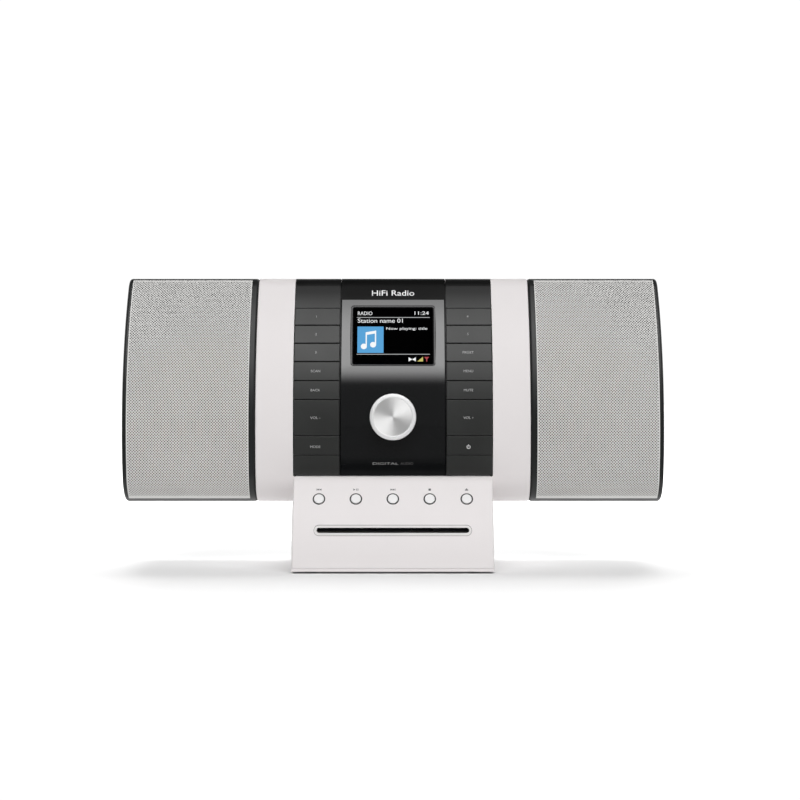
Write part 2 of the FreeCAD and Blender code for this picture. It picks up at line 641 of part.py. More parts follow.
# ---------------------------------------------------------------- CD drive
def build_drive():
    half = "chassis_half"
    floor = box("chassis_floor", "-" + half, half, -57, 66, 16, "16 + sheet")
    top = "slot_z + slot_high / 2"
    left = box("chassis_left", "-" + half, "-%s + sheet" % half, -57, 66, 16, top)
    right = box("chassis_right", half + " - sheet", half, -57, 66, 16, top)
    parts = [floor, left, right]
    for i, (x, y) in enumerate([(-60, -44), (60, -44), (-60, 58), (60, 58)]):
        parts.append(cylinder("chassis_post_%d" % i, 3, x, y, "base_seam - 0.2", 11.8, "z"))
    for i, x in enumerate((13.2, 66.0)):
        parts.append(box("rail_block_%d" % i, x, x + 2, -26, 26, 17, 27))
    for i, y in enumerate((-12, 20)):
        parts.append(cylinder("rail_%d" % i, "rod_radius", 13.5, y, 24, 54, "x"))
    solid = fuse("chassis_solid", *parts)
    screw_bore = cylinder("screw_bore", "rod_radius + 0.06", 10, -20, 24, 60, "x")
    node("cd_chassis", cut("chassis", solid, screw_bore))

    guide = box("guide_sheet", "-" + half, half, -57, 66, top, "%s + sheet" % top)
    eye = cylinder("guide_eye", 17, 0, "spindle_y", 30, 20, "z")
    ribs = [box("guide_rib_%d" % i, -66, 66, y, y + 1.2, "%s + 1" % top, "%s + 4" % top)
            for i, y in enumerate((-45, -25, 40))]
    node("cd_top_guide", fuse("guide", cut("guide_open", guide, eye), *ribs))

    spindle = cylinder("spindle_motor", 12, 0, "spindle_y", "16 + sheet", 11.6, "z")
    bore = cylinder("spindle_bore", 1.06, 0, "spindle_y", 24, 10, "z")
    feed = cylinder("feed_motor", 5.5, 70.1, -20, 24, 10, "x")
    load = cylinder("load_motor", 5.5, -80.1, -44, 26, 10, "x")
    node("cd_motors", group("motors", cut("spindle_open", spindle, bore), feed, load))

    disc = cylinder("turn_disc", 15, 0, "spindle_y", 30, 1.6, "z")
    hub = doc.addObject("Part::Cone", "turn_hub")
    bind(hub, "Radius1", 7.3)
    bind(hub, "Radius2", 5.6)
    bind(hub, "Height", 1.7)
    bind(hub, "Placement.Base.y", "spindle_y")
    bind(hub, "Placement.Base.z", 31.5)
    pin = cylinder("turn_pin", 1.0, 0, "spindle_y", 24.5, 6, "z")
    node("turntable", fuse("turn", disc, hub, pin))

    sled = box("sled_block", 17, 35, -24, 24, 21, 29.6)
    lens = cylinder("sled_lens", 4, 26, "spindle_y", 29.5, 1.3, "z")
    bores = [cylinder("sled_bore_%d" % i, "rod_radius + 0.06",
                      0, y, 24, 80, "x") for i, y in enumerate((-12, 20))]
    nut = cylinder("sled_nut", "rod_radius + 0.35", 0, -20, 24, 80, "x")
    node("laser_sled", cut("sled", fuse("sled_solid", sled, lens), nut, *bores))
    screw = cylinder("screw_core", "rod_radius", 12, -20, 24, 57.9, "x")
    node("lead_screw", group("screw_group", screw))

    bar = box("arm_bar", -66, 66, -56, -48, 18.6, 21)
    ears = [box("arm_ear_%d" % i, x, x + 2, -56, -48, 18.6, 30) for i, x in enumerate((-66, 64))]
    bore = cylinder("arm_bore", "rod_radius + 0.06", -70, -52, 27.2, 140, "x")
    node("roller_arm", cut("arm", fuse("arm_solid", bar, *ears), bore))
    sleeve = cylinder("roller_sleeve", "roller_radius", -61, -52, 27.2, 122, "x")
    axle = cylinder("roller_axle", "rod_radius", -67, -52, 27.2, 134, "x")
    node("load_roller", fuse("roller", sleeve, axle))


# ---------------------------------------------------------------- speakers
def build_speaker(tag, side):
    def span(a, b):
        return (a, b) if side > 0 else ("-(%s)" % b, "-(%s)" % a)
    x0, x1 = span("housing_half", "cabinet_outer")
    outer = drum_profile(tag + "_outer", 0, x0, x1, "back_y", 2.5)
    i0, i1 = span("housing_half + cabinet_wall", "cabinet_outer - cabinet_wall")
    inner = drum_profile(tag + "_inner", 3.5, i0, i1, "back_y - 3.5")
    m0, m1 = span(126.3, 225.1)
    mouth = box(tag + "_mouth", m0, m1, -60, 8, 62, 244)
    r0, r1 = span("grille_in - 0.1", "grille_out + 0.1")
    step = box(tag + "_step", r0, r1, -60, 12, "grille_low - 0.1", "grille_high + 0.1")
    core = drum_profile(tag + "_core", 1.05, *span(120, 230), back="back_y")
    shell = cut(tag + "_shell", outer, inner, mouth, cut(tag + "_rebate", step, core))
    cx = "%d * driver_x" % side
    ring = cut(tag + "_baffle", drum_profile(tag + "_front", 8, i0, i1, "20"),
               drum_profile(tag + "_rear", 11, i0, i1, "21"))
    keep = box(tag + "_keep", i0, i1, -60, 19.9, 50, 260)
    baffle = common(tag + "_wall", ring, keep)
    pad = cylinder(tag + "_pad", 44, cx, -27.5, "driver_z", 9, "y")
    flat = cylinder(tag + "_flat", 44, cx, -50, "driver_z", 22.5, "y")
    hole = cylinder(tag + "_hole", 37, cx, -50, "driver_z", 50, "y")
    front = cut(tag + "_baffle_open", fuse(tag + "_baffle_solid", baffle, pad), flat, hole)
    node("cabinet_" + tag, fuse(tag + "_cabinet", shell, front))

    g0, g1 = span("grille_in", "grille_out")
    skin = cut(tag + "_skin", drum_profile(tag + "_grille_out", 0, g0, g1, "20"),
               drum_profile(tag + "_grille_in", 1.0, *span(120, 230), back="21"))
    window = box(tag + "_grille_box", g0, g1, -60, 12, "grille_low", "grille_high")
    node("grille_" + tag, common(tag + "_grille", skin, window))

    place = FreeCAD.Placement(V(side * S["driver_x"], 0, S["driver_z"]), FreeCAD.Rotation())
    basket, sketch = revolved(tag + "_basket", [
        (34, -29.5), (42, -29.5), (42, -27.5), (36.6, -27.5), (25, -5), (25, 9), (0, 9),
        (0, -7), (11.0, -7), (11.0, 5), (13.2, 5), (13.2, -5), (20.5, -5), (34, -26.5)])
    node("driver_" + tag, basket, place)
    cone, sketch = revolved(tag + "_cone", [
        (0, -18.6), (11.0, -16.6), (33.4, -28.8), (33.4, -27.6), (12.6, -14.8), (12.6, 2.8),
        (11.6, 2.8), (11.6, -15.4), (0, -17.4)])
    node("cone_" + tag, cone, place)


# ---------------------------------------------------------------- antenna
def build_antenna():
    x = "antenna_x"
    y = "antenna_y"
    z = "antenna_z"
    stub = cylinder("swivel_stub", 2.5, x, 66, z, 5, "y")
    disc = cylinder("swivel_disc", 6, x, 70.1, z, 1.4, "y")
    ears = []
    for i, low in enumerate((-4.9, 3.2)):
        ears.append(cylinder("swivel_ear_%d" % i, 3.7, x, y, "%s + %s" % (z, low), 1.7, "z"))
        ears.append(box("swivel_web_%d" % i, x + " - 3.7", x + " + 3.7", 71.2, y,
                        "%s + %s" % (z, low), "%s + %s" % (z, low + 1.7)))
    pin = cylinder("swivel_pin", 1.2, x, y, z + " - 4", 8, "z")
    node("antenna_swivel", fuse("swivel", stub, disc, pin, *ears))
    knuckle = cylinder("rod_knuckle", 3.4, x, y, z + " - 2.9", 5.8, "z")
    tube = cylinder("rod_tube", "antenna_radius", -85, y, z, x + " + 83", "x")
    pin_hole = cylinder("rod_pin_hole", 1.26, x, y, z + " - 6", 12, "z")
    inner = cylinder("rod_inner", 2.35, -86, y, z, 170, "x")
    node("antenna_rod_1", cut("rod_1", fuse("rod_1_solid", knuckle, tube), pin_hole, inner))
    tube_2 = cylinder("rod_2_tube", 2.3, -86, y, z, 168, "x")
    inner_2 = cylinder("rod_2_inner", 1.65, -87, y, z, 165, "x")
    node("antenna_rod_2", cut("rod_2", tube_2, inner_2))
    core = cylinder("rod_3_core", 1.6, -90, y, z, 166, "x")
    tip = cylinder("rod_3_tip", 2.8, -92, y, z, 5.5, "x")
    node("antenna_rod_3", fuse("rod_3", core, tip))


build_housing()
build_back_panel()
build_fascia()
build_display()
for index in range(7):
    build_key(KEYS_LEFT[index], -1, index)
    build_key(KEYS_RIGHT[index], 1, index)
build_key_support()
build_knob()
build_electronics()
build_base()
build_buttons()
build_drive()
build_speaker("left", -1)
build_speaker("right", 1)
build_antenna()
doc.recompute()

# ---------------------------------------------------------------- check and write
for obj in doc.Objects:
    if "Invalid" in obj.State or "Error" in obj.State:
        raise RuntimeError("%s is %s" % (obj.Name, obj.State))
for obj in NODES:
    if obj.Shape.isNull() or not obj.Shape.isValid():
        raise RuntimeError("%s has no valid shape" % obj.Label)
for obj in NODES:
    obj.Shape.exportStep("parts/%s.step" % obj.Label)
print("wrote %d sub-parts" % len(NODES))
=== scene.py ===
import json
import math

import bpy
import numpy as np
from mathutils import Matrix, Vector


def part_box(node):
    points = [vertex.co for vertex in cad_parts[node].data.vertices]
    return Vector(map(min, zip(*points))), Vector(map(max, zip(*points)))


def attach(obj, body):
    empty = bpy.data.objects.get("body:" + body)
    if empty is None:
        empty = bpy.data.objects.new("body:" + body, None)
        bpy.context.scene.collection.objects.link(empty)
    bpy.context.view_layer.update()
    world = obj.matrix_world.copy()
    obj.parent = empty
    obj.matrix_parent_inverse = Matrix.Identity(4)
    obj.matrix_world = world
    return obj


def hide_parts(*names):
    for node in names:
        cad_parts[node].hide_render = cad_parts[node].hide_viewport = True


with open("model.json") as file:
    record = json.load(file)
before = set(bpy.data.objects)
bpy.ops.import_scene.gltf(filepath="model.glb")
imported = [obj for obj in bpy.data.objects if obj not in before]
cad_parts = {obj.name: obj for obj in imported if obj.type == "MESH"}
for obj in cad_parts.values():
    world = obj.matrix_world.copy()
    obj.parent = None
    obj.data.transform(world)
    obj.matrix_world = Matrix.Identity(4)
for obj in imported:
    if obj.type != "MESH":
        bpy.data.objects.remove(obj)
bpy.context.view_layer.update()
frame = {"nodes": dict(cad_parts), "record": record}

# lengths are metres unless a comment says millimetres
MM = 0.001
NODES = frame["nodes"]

# the front of the centre unit and speakers is part of a drum lying along X
DRUM_R = 0.222
DRUM_Y = 0.186
DRUM_Z = 0.1184
# the front of the base is part of a smaller drum
BASE_R = 0.144
BASE_Y = 0.0646
BASE_Z = -0.0086

scene = bpy.context.scene


# ---------------------------------------------------------------- places
def surface_frame(angle, x, y, z, distance):
    """Frame standing on a drum whose axis is at (y, z): X right, Y up the surface, Z out."""
    out = Vector((0, -math.cos(angle), math.sin(angle)))
    up = Vector((0, math.sin(angle), math.cos(angle)))
    place = Vector((x, y, z)) + out * distance
    return Matrix((
        (1, up.x, out.x, place.x), (0, up.y, out.y, place.y),
        (0, up.z, out.z, place.z), (0, 0, 0, 1)))


def on_drum(degrees, x=0.0, lift=0.0, radius=DRUM_R):
    """Frame on the large drum, at an angle above its axis."""
    return surface_frame(math.radians(degrees), x, DRUM_Y, DRUM_Z, radius + lift)


def on_base(z, x=0.0, lift=0.0):
    """Frame on the sloping base front, at height z."""
    return surface_frame(math.asin((z - BASE_Z) / BASE_R), x, BASE_Y, BASE_Z, BASE_R + lift)


# ---------------------------------------------------------------- material nodes
NOISE_LOW = 0.3
NOISE_HIGH = 0.7
TONE_SCALE = 18.0
GLOSS_SCALE = 40.0


def new_material(name):
    material = bpy.data.materials.new(name)
    material.use_nodes = True
    tree = material.node_tree
    return material, tree, tree.nodes["Principled BSDF"]


def noise(tree, scale, detail=3.0):
    coordinates = tree.nodes.new("ShaderNodeTexCoord")
    texture = tree.nodes.new("ShaderNodeTexNoise")
    texture.inputs["Scale"].default_value = scale
    texture.inputs["Detail"].default_value = detail
    tree.links.new(coordinates.outputs["Object"], texture.inputs["Vector"])
    return texture.outputs["Fac"]


def map_range(tree, source, from_low, from_high, to_low, to_high, smooth=False):
    node = tree.nodes.new("ShaderNodeMapRange")
    if smooth:
        node.interpolation_type = "SMOOTHSTEP"
    node.inputs["From Min"].default_value = from_low
    node.inputs["From Max"].default_value = from_high
    node.inputs["To Min"].default_value = to_low
    node.inputs["To Max"].default_value = to_high
    tree.links.new(source, node.inputs["Value"])
    return node.outputs["Result"]


def spread(tree, source, low, high):
    """Turns a noise into a value that wanders between two limits."""
    return map_range(tree, source, NOISE_LOW, NOISE_HIGH, low, high)


def tint(tree, source, dark, light):
    """Turns a noise into a colour that wanders between two colours."""
    ramp = tree.nodes.new("ShaderNodeValToRGB")
    ramp.color_ramp.elements[0].position = NOISE_LOW
    ramp.color_ramp.elements[1].position = NOISE_HIGH
    ramp.color_ramp.elements[0].color = (*dark, 1)
    ramp.color_ramp.elements[1].color = (*light, 1)
    tree.links.new(source, ramp.inputs["Fac"])
    return ramp.outputs["Color"]


def bump(tree, shader, source, strength, depth):
    node = tree.nodes.new("ShaderNodeBump")
    node.inputs["Strength"].default_value = strength
    node.inputs["Distance"].default_value = depth
    tree.links.new(source, node.inputs["Height"])
    tree.links.new(node.outputs["Normal"], shader.inputs["Normal"])


def height_ramp(tree, low, high, start, end):
    """Runs from start to end between two heights of the object."""
    coordinates = tree.nodes.new("ShaderNodeTexCoord")
    split = tree.nodes.new("ShaderNodeSeparateXYZ")
    tree.links.new(coordinates.outputs["Object"], split.inputs[0])
    return map_range(tree, split.outputs["Z"], low, high, start, end)


# ---------------------------------------------------------------- materials
WHITE = (0.80, 0.765, 0.765)
FASCIA_BLACK = (0.028, 0.029, 0.028)
# painted shade: the near black that the tops of the fascia and crown are darkened towards
PAINTED_SHADE_BLACK = (0.002, 0.002, 0.002)
# painted shade: the dark of the base plate's underside, which keeps the gap under the base dark
UNDERSIDE_SHADE_BLACK = (0.012, 0.012, 0.012)
UNDERSIDE_LOW = 0.0015
UNDERSIDE_HIGH = 0.0017
PANEL_DULL_LOW = 0.088
PANEL_DULL_HIGH = 0.096
# heights between which painted shade darkens the tops of the fascia and crown
TOP_SHADE_START = 0.222
FASCIA_SHADE_END = 0.238
CROWN_SHADE_END = 0.236


def moulded(name, colour, rough, vary=0.03, tone=0.03, grain=2500.0, depth=0.00001,
            strength=0.1, metallic=0.0, ior=1.5):
    """Moulded or painted surface: slight tone and gloss variation over a fine moulded grain."""
    material, tree, shader = new_material(name)
    dark = [c * (1 - tone) for c in colour]
    light = [min(1.0, c * (1 + tone)) for c in colour]
    tree.links.new(tint(tree, noise(tree, TONE_SCALE), dark, light),
                   shader.inputs["Base Color"])
    tree.links.new(spread(tree, noise(tree, GLOSS_SCALE), rough - vary, rough + vary),
                   shader.inputs["Roughness"])
    bump(tree, shader, noise(tree, grain, 2.0), strength, depth)
    shader.inputs["Metallic"].default_value = metallic
    shader.inputs["IOR"].default_value = ior
    return material


def glass_material(name):
    """Thin clear window with an anti-glare finish."""
    material, tree, shader = new_material(name)
    shader.inputs["Alpha"].default_value = 0.03
    shader.inputs["IOR"].default_value = 1.0
    shader.inputs["Specular IOR Level"].default_value = 0.0
    shader.inputs["Base Color"].default_value = (0, 0, 0, 1)
    tree.links.new(spread(tree, noise(tree, 60.0), 0.02, 0.04), shader.inputs["Roughness"])
    return material


def painted_shade_on_top(material, low, high):
    """Paints shade on a moulded material: darkens it towards black between two heights, so its top
    reads as shaded.
    """
    tree = material.node_tree
    shader = tree.nodes["Principled BSDF"]
    old = shader.inputs["Base Color"].links[0].from_socket
    mix = tree.nodes.new("ShaderNodeMixRGB")
    mix.inputs["Color2"].default_value = (*PAINTED_SHADE_BLACK, 1)
    tree.links.new(height_ramp(tree, low, high, 0.0, 1.0), mix.inputs["Fac"])
    tree.links.new(old, mix.inputs["Color1"])
    tree.links.new(mix.outputs["Color"], shader.inputs["Base Color"])
    return material


def gloss_panel_material(name):
    """Black gloss lacquer that turns dull just above the base."""
    material = moulded(name, (0.005, 0.0055, 0.006), 0.09, vary=0.01, tone=0.1, grain=400.0,
                       depth=0.000002, strength=0.03)
    tree = material.node_tree
    shader = tree.nodes["Principled BSDF"]
    for socket, dull, full in (("Coat Weight", 0.0, 0.85), ("Specular IOR Level", 0.1, 0.5)):
        tree.links.new(height_ramp(tree, PANEL_DULL_LOW, PANEL_DULL_HIGH, dull, full),
                       shader.inputs[socket])
    return material


def base_plate_material(name):
    """Light moulded edge with an underside painted dark as shade, so the gap under the base reads
    as a dark line.
    """
    material, tree, shader = new_material(name)
    mix = tree.nodes.new("ShaderNodeMixRGB")
    # painted shade: below a set height the plate is dark, standing in for the shadow in the gap
    mix.inputs["Color1"].default_value = (*UNDERSIDE_SHADE_BLACK, 1)
    tree.links.new(height_ramp(tree, UNDERSIDE_LOW, UNDERSIDE_HIGH, 0.0, 1.0),
                   mix.inputs["Fac"])
    tree.links.new(tint(tree, noise(tree, TONE_SCALE), [c * 0.99 for c in WHITE], WHITE),
                   mix.inputs["Color2"])
    tree.links.new(mix.outputs["Color"], shader.inputs["Base Color"])
    tree.links.new(spread(tree, noise(tree, GLOSS_SCALE), 0.52, 0.58),
                   shader.inputs["Roughness"])
    return material


def lit_material(name, colour, power):
    """Glowing part of the screen's picture."""
    material, tree, shader = new_material(name)
    shader.inputs["Base Color"].default_value = (0, 0, 0, 1)
    shader.inputs["Roughness"].default_value = 0.6
    shader.inputs["Emission Strength"].default_value = power
    dark = [c * 0.97 for c in colour]
    tree.links.new(tint(tree, noise(tree, 900.0), dark, colour), shader.inputs["Emission Color"])
    return material


def spun_material(name, rough, strength):
    """Turned metal: fine rings round the piece's own Z axis."""
    material, tree, shader = new_material(name)
    shader.inputs["Metallic"].default_value = 0.7
    shader.inputs["Anisotropic"].default_value = 0.75
    shader.inputs["Anisotropic Rotation"].default_value = 0.375
    shader.inputs["Base Color"].default_value = (0.88, 0.88, 0.875, 1)
    coordinates = tree.nodes.new("ShaderNodeTexCoord")
    flat = tree.nodes.new("ShaderNodeVectorMath")
    flat.operation = "MULTIPLY"
    flat.inputs[1].default_value = (1, 1, 0)
    length = tree.nodes.new("ShaderNodeVectorMath")
    length.operation = "LENGTH"
    rings = tree.nodes.new("ShaderNodeTexNoise")
    rings.noise_dimensions = "1D"
    rings.inputs["Scale"].default_value = 5200.0
    rings.inputs["Detail"].default_value = 2.0
    tree.links.new(coordinates.outputs["Object"], flat.inputs[0])
    tree.links.new(flat.outputs["Vector"], length.inputs[0])
    tree.links.new(length.outputs["Value"], rings.inputs["W"])
    tree.links.new(spread(tree, rings.outputs["Fac"], rough - 0.05, rough + 0.05),
                   shader.inputs["Roughness"])
    bump(tree, shader, rings.outputs["Fac"], strength, 0.00001)
    tangent = tree.nodes.new("ShaderNodeTangent")
    tangent.direction_type = "RADIAL"
    tangent.axis = "Z"
    tree.links.new(tangent.outputs["Tangent"], shader.inputs["Tangent"])
    return material


MATERIALS = {
    "white_plastic": moulded("WhitePlastic", WHITE, 0.55, tone=0.008, grain=3000.0,
                             depth=0.000006),
    # the fascia and the crown get painted shade towards their tops
    "black_fascia": painted_shade_on_top(
        moulded("BlackFascia", FASCIA_BLACK, 0.36, tone=0.1, ior=1.375),
        TOP_SHADE_START, FASCIA_SHADE_END),
    "black_key": moulded("BlackKey", FASCIA_BLACK, 0.36, tone=0.1, ior=1.375),
    "black_gloss_panel": gloss_panel_material("BlackGloss"),
    "crown_black": painted_shade_on_top(
        moulded("CapBlack", (0.011, 0.0115, 0.0115), 0.5, tone=0.1, ior=1.22),
        TOP_SHADE_START, CROWN_SHADE_END),
    "display_glass": glass_material("DisplayGlass"),
    "display_module": moulded("ModuleBlack", (0.001, 0.001, 0.0012), 0.6, tone=0.2, ior=1.03),
    "cabinet_black": moulded("CabinetBlack", (0.013, 0.014, 0.014), 0.36, tone=0.12, ior=1.38),
    "grille_silver": moulded("GrilleSilver", (0.68, 0.675, 0.66), 0.62, tone=0.03, ior=1.35),
    "cone_paper": moulded("ConePaper", (0.02, 0.02, 0.022), 0.85, tone=0.3, grain=1200.0,
                          depth=0.00008, strength=0.6),
    "driver_steel": moulded("DriverSteel", (0.08, 0.08, 0.085), 0.4, tone=0.1, metallic=0.8),
    "rubber": moulded("Rubber", (0.02, 0.02, 0.02), 0.75, tone=0.2, grain=1500.0,
                      depth=0.00003, strength=0.4),
    "button_metal": moulded("ButtonCap", (0.80, 0.79, 0.79), 0.35, tone=0.02),
    "slot_trim": moulded("SlotTrim", (0.72, 0.70, 0.69), 0.45, tone=0.02),
    "circuit_board": moulded("CircuitBoard", (0.02, 0.13, 0.045), 0.4, tone=0.3, grain=900.0,
                             depth=0.00006, strength=0.5),
    "inner_plastic": moulded("InnerPlastic", (0.012, 0.012, 0.013), 0.6, tone=0.15),
    "sheet_steel": moulded("SheetSteel", (0.42, 0.43, 0.44), 0.35, vary=0.08, tone=0.1,
                           metallic=1.0),
    "back_plastic": moulded("BackPlastic", (0.02, 0.02, 0.022), 0.6, tone=0.1, grain=1400.0,
                            depth=0.00005, strength=0.5),
    "chrome": moulded("Chrome", (0.78, 0.78, 0.79), 0.12, tone=0.02, metallic=1.0),
    "antenna_knuckle": moulded("KnuckleBlack", (0.015, 0.015, 0.016), 0.4, tone=0.15),
    "roller_rubber": moulded("RollerRubber", (0.05, 0.05, 0.05), 0.8, tone=0.2, grain=1500.0,
                             depth=0.00004, strength=0.5),
    "spun_metal": spun_material("SpunMetal", 0.43, 0.2),
}
SATIN_METAL = moulded("SatinMetal", (0.84, 0.84, 0.84), 0.5, tone=0.02, metallic=0.35,
                      grain=6000.0, depth=0.000005, strength=0.2)
LIT_WHITE = lit_material("LitWhite", (0.92, 0.94, 0.95), 1.0)
LIT_DIM = lit_material("LitDim", (0.62, 0.64, 0.65), 0.8)
LIT_BLUE = lit_material("LitBlue", (0.055, 0.33, 0.66), 1.0)
LIT_YELLOW = lit_material("LitYellow", (0.62, 0.55, 0.12), 0.9)
LIT_RED = lit_material("LitRed", (0.45, 0.04, 0.05), 0.9)
RIM_BLACK = moulded("RimBlack", (0.012, 0.012, 0.013), 0.16, tone=0.1)
PRINT = moulded("PrintWhite", (0.42, 0.42, 0.42), 0.5, tone=0.02)
PRINT_GREY = moulded("PrintGrey", (0.30, 0.30, 0.30), 0.5, tone=0.02)
PRINT_DIM = moulded("PrintDim", (0.07, 0.07, 0.07), 0.5, tone=0.02)
PRINT_BRIGHT = moulded("PrintBright", (0.95, 0.95, 0.95), 0.5, tone=0.01)
PRINT_DARK = moulded("PrintDark", (0.10, 0.10, 0.105), 0.5, tone=0.02)

for row in frame["record"]["subparts"]:
    mesh = NODES[row["node"]].data
    mesh.materials.clear()
    mesh.materials.append(MATERIALS[row["material_slot"]])
NODES["base_plate"].data.materials[0] = base_plate_material("BasePlate")


# ---------------------------------------------------------------- making pieces
def piece(name, mesh, matrix, material, body):
    """Places a mesh in the world and ties it to its body and material slot."""
    obj = bpy.data.objects.new(name, mesh)
    scene.collection.objects.link(obj)
    mesh.materials.clear()
    mesh.materials.append(material)
    obj.matrix_world = matrix
    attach(obj, body)
    return obj


def mesh_of(name, points, faces, smooth=False):
    mesh = bpy.data.meshes.new(name)
    mesh.from_pydata([tuple(p) for p in points], [], [tuple(f) for f in faces])
    if smooth:
        mesh.polygons.foreach_set("use_smooth", [True] * len(mesh.polygons))
    mesh.update()
    return mesh


def split_edges(obj, degrees):
    """Keeps the shading of smooth faces apart where they meet more sharply than this."""
    edge = obj.modifiers.new("split", "EDGE_SPLIT")
    edge.split_angle = math.radians(degrees)


def ring_faces(rings, count):
    """Faces between closed rings of points that follow one another."""
    faces = []
    for i in range(rings - 1):
        for k in range(count):
            n = (k + 1) % count
            faces.append((i * count + k, i * count + n, (i + 1) * count + n,
                          (i + 1) * count + k))
    return faces


def flat_shapes(name, outlines, matrix, thick, material, body):
    """Thin raised shapes from outlines in millimetres, each turned anticlockwise."""
    points = []
    faces = []
    for outline in outlines:
        start = len(points)
        count = len(outline)
        points += [(x * MM, y * MM, thick) for x, y in outline]
        points += [(x * MM, y * MM, 0.0) for x, y in outline]
        faces.append([start + i for i in range(count)])
        for i in range(count):
            j = (i + 1) % count
            faces.append([start + j, start + i, start + count + i, start + count + j])
    return piece(name, mesh_of(name, points, faces), matrix, material, body)


def words(name, text, wide, tall, matrix, material, body, align="CENTER", weight=0.0):
    """Printed lettering of a given cap height (and width when set), in millimetres."""
    curve = bpy.data.curves.new(name + "_text", "FONT")
    curve.body = text
    curve.size = 1.0
    curve.offset = weight
    curve.align_x = "LEFT"
    curve.resolution_u = 4
    made = bpy.data.objects.new(name + "_text", curve)
    scene.collection.objects.link(made)
    bpy.context.view_layer.update()
    mesh = bpy.data.meshes.new_from_object(made.evaluated_get(
        bpy.context.evaluated_depsgraph_get()))
    bpy.data.objects.remove(made)
    co = np.empty(len(mesh.vertices) * 3)
    mesh.vertices.foreach_get("co", co)
    co = co.reshape(-1, 3)
    low = co.min(0)
    size = co.max(0) - low
    scale_y = tall * MM / size[1]
    scale_x = wide * MM / size[0] if wide else scale_y
    shift = {"LEFT": 0.0, "CENTER": 0.5, "RIGHT": 1.0}[align]
    co[:, 0] = (co[:, 0] - low[0] - shift * size[0]) * scale_x
    co[:, 1] = (co[:, 1] - low[1] - 0.5 * size[1]) * scale_y
    mesh.vertices.foreach_set("co", co.ravel())
    mesh.update()
    mesh.name = name
    return piece(name, mesh, matrix, material, body)


def rectangle(x0, y0, x1, y1):
    return [(x0, y0), (x1, y0), (x1, y1), (x0, y1)]


def disc_outline(x, y, radius, count=24):
    turns = [math.radians(360.0 * i / count) for i in range(count)]
    return [(x + radius * math.cos(a), y + radius * math.sin(a)) for a in turns]


def ring_pieces(x, y, inner, outer, start, sweep, count):
    """Short four-sided pieces that make up part of a ring."""
    pieces = []
    for i in range(count):
        a = math.radians(start + sweep * i / count)
        b = math.radians(start + sweep * (i + 1) / count)
        pieces.append([
            (x + inner * math.cos(a), y + inner * math.sin(a)),
            (x + outer * math.cos(a), y + outer * math.sin(a)),
            (x + outer * math.cos(b), y + outer * math.sin(b)),
            (x + inner * math.cos(b), y + inner * math.sin(b))])
    return pieces


def middle_x(node):
    low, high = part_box(node)
    return (low.x + high.x) / 2


# ---------------------------------------------------------------- speaker grilles
# the profile of a grille runs over a low round, the drum and a top round
GRILLE_LOW_Z = 0.0591
GRILLE_TOP_Z = 0.2492
LOW_Y, LOW_Z, LOW_R = -0.004926, 0.084, 0.028
LOW_START = math.asin((LOW_Z - GRILLE_LOW_Z) / LOW_R)
LOW_END = math.radians(10.216)
TOP_Z, TOP_R = 0.234, 0.017
TOP_START = math.asin((TOP_Z - DRUM_Z) / (DRUM_R - TOP_R))
TOP_Y = DRUM_Y - (DRUM_R - TOP_R) * math.cos(TOP_START)
TOP_END = math.asin((GRILLE_TOP_Z - TOP_Z) / TOP_R)
LOW_LENGTH = (LOW_START - LOW_END) * LOW_R
DRUM_LENGTH = (LOW_END + TOP_START) * DRUM_R
# the low round's length is taken to a tenth of a millimetre here
PROFILE_LENGTH = 0.0257 + DRUM_R * (TOP_START + LOW_END) + TOP_R * (TOP_END - TOP_START)

HOLE_R = 0.00058
SHEET_THICK = 0.0004
GRILLE_ROWS = 80
GRILLE_COLUMNS = 43
BORDER_INNER = 0.0003
BORDER_OUTER = 0.0004
BORDER_LOW = 0.0040
BORDER_TOP = 0.0024
LOW_STEPS = 6
TOP_STEPS = 5
CLOTH_INSET = 0.0009
CLOTH_GAP = 0.0002
CLOTH_STEPS = 48


def profile_point(s, inset):
    """(y, z) on the front profile, s metres along it from below, drawn in by the inset."""
    if s < LOW_LENGTH:
        a = -LOW_START + s / LOW_R
        y, z, r = LOW_Y, LOW_Z, LOW_R
    elif s < LOW_LENGTH + DRUM_LENGTH:
        a = -LOW_END + (s - LOW_LENGTH) / DRUM_R
        y, z, r = DRUM_Y, DRUM_Z, DRUM_R
    else:
        a = TOP_START + (s - LOW_LENGTH - DRUM_LENGTH) / TOP_R
        y, z, r = TOP_Y, TOP_Z, TOP_R
    return y - math.cos(a) * (r - inset), z + math.sin(a) * (r - inset)


